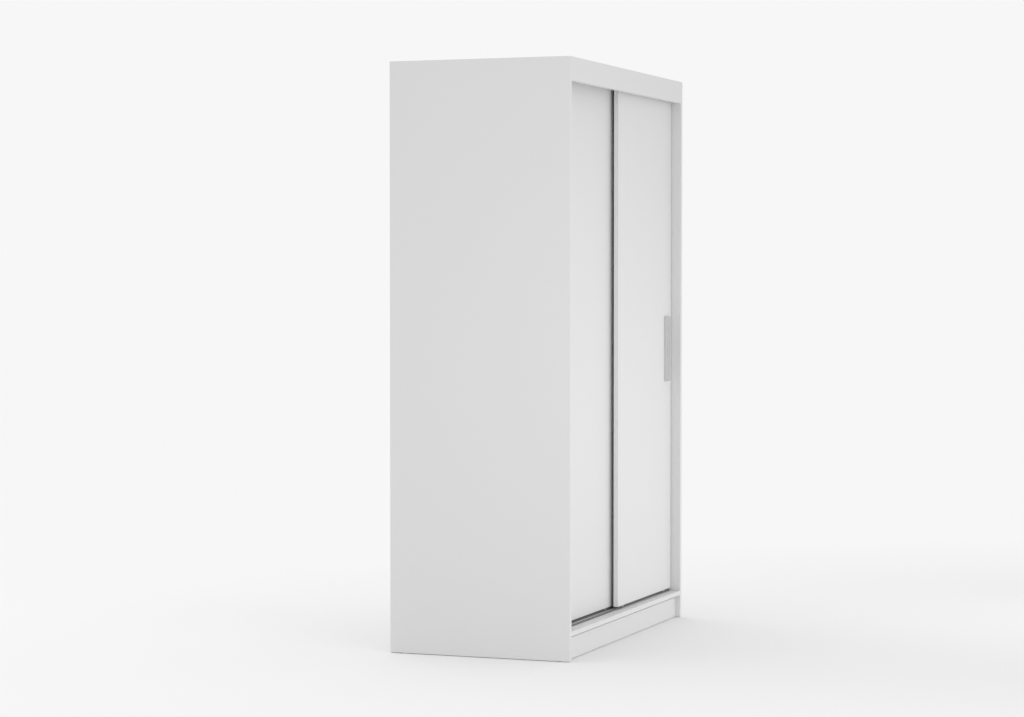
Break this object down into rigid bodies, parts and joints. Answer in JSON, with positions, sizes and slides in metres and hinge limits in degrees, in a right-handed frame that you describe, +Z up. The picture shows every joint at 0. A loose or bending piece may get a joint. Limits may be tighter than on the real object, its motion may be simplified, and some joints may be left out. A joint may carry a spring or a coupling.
{
  "type": "sliding door wardrobe",
  "caption": "Tall white wardrobe with two sliding doors on bottom runners, flat bar handles, a fascia and a set-back plinth; shelves and a hanging rail inside.",
  "frame": {"origin": "on the floor, in the middle of the footprint", "axes": "+X to the right as seen from the front, +Y towards the back, +Z up; the doors face -Y"},
  "size_m": [1.255, 0.645, 2],
  "materials": {
    "white_board": "chipboard faced with matt white melamine, fine pearl texture",
    "door_board": "chipboard faced with matt white melamine, fine pearl texture",
    "hardboard": "thin hardboard, lacquered white on both faces, raw brown at its edges",
    "track_aluminium": "satin anodised extrusion",
    "runner_plastic": "extruded hard plastic, satin dark grey",
    "handle_aluminium": "satin anodised extrusion, fine grain along its length",
    "chrome": "bright plated",
    "zinc_plated_steel": "bright zinc plated",
    "die_cast_zinc": "raw die casting",
    "beech": "fluted beech, unfinished",
    "glide_plastic": "moulded, matt",
    "bumper_rubber": "translucent soft rubber",
    "grey_nylon": "moulded nylon, satin",
    "wheel_nylon": "turned nylon, satin"
  },
  "bodies": {
    "carcass": {"back_nails": "zinc_plated_steel", "back_panel_left": "hardboard", "back_panel_right": "hardboard", "bottom_panel": "white_board", "bottom_runners": "runner_plastic", "bracket_screws": "zinc_plated_steel", "cam_bolts": "zinc_plated_steel", "cam_locks": "die_cast_zinc", "centre_partition": "white_board", "door_bumpers": "bumper_rubber", "dowels": "beech", "fascia": "white_board", "glides": "glide_plastic", "hanging_rail": "chrome", "hat_shelf_left": "white_board", "hat_shelf_right": "white_board", "plinth_front": "white_board", "plinth_rear": "white_board", "plinth_rib": "white_board", "rail_screws": "zinc_plated_steel", "rail_sockets": "chrome", "shelf_1": "white_board", "shelf_2": "white_board", "shelf_3": "white_board", "shelf_4": "white_board", "shelf_pins": "zinc_plated_steel", "side_panel_left": "white_board", "side_panel_right": "white_board", "top_panel": "white_board", "top_track": "track_aluminium", "track_screws": "zinc_plated_steel", "wall_brackets": "zinc_plated_steel"},
    "front_door": {"front_door_axles": "zinc_plated_steel", "front_door_guide_screws": "zinc_plated_steel", "front_door_handle": "handle_aluminium", "front_door_handle_screws": "zinc_plated_steel", "front_door_panel": "door_board", "front_door_roller_housings": "grey_nylon", "front_door_roller_screws": "zinc_plated_steel", "front_door_top_guides": "grey_nylon"},
    "rear_door": {"rear_door_axles": "zinc_plated_steel", "rear_door_guide_screws": "zinc_plated_steel", "rear_door_handle": "handle_aluminium", "rear_door_handle_screws": "zinc_plated_steel", "rear_door_panel": "door_board", "rear_door_roller_housings": "grey_nylon", "rear_door_roller_screws": "zinc_plated_steel", "rear_door_top_guides": "grey_nylon"},
    "front_door_roller_left": {"front_door_wheel_left": "wheel_nylon"},
    "front_door_roller_right": {"front_door_wheel_right": "wheel_nylon"},
    "rear_door_roller_left": {"rear_door_wheel_left": "wheel_nylon"},
    "rear_door_roller_right": {"rear_door_wheel_right": "wheel_nylon"}
  },
  "joints": [
    {"name": "front_door_slide", "type": "slide", "parent": "carcass", "child": "front_door", "axis": [-1, 0, 0], "range_m": [0, 0.589]},
    {"name": "rear_door_slide", "type": "slide", "parent": "carcass", "child": "rear_door", "axis": [1, 0, 0], "range_m": [0, 0.589]},
    {"name": "front_door_roller_left_spin", "type": "hinge", "parent": "front_door", "child": "front_door_roller_left", "pos_m": [0.052, -0.2785, 0.1183], "axis": [0, -1, 0], "continuous": true},
    {"name": "front_door_roller_right_spin", "type": "hinge", "parent": "front_door", "child": "front_door_roller_right", "pos_m": [0.537, -0.2785, 0.1183], "axis": [0, -1, 0], "continuous": true},
    {"name": "rear_door_roller_left_spin", "type": "hinge", "parent": "rear_door", "child": "rear_door_roller_left", "pos_m": [-0.537, -0.2485, 0.1183], "axis": [0, 1, 0], "continuous": true},
    {"name": "rear_door_roller_right_spin", "type": "hinge", "parent": "rear_door", "child": "rear_door_roller_right", "pos_m": [-0.052, -0.2485, 0.1183], "axis": [0, 1, 0], "continuous": true}
  ],
  "couplings": [
    {"joint": "front_door_roller_left_spin", "follows": "front_door_slide", "rad_per_m": 83.333},
    {"joint": "front_door_roller_right_spin", "follows": "front_door_slide", "rad_per_m": 83.333},
    {"joint": "rear_door_roller_left_spin", "follows": "rear_door_slide", "rad_per_m": 83.333},
    {"joint": "rear_door_roller_right_spin", "follows": "rear_door_slide", "rad_per_m": 83.333}
  ]
}
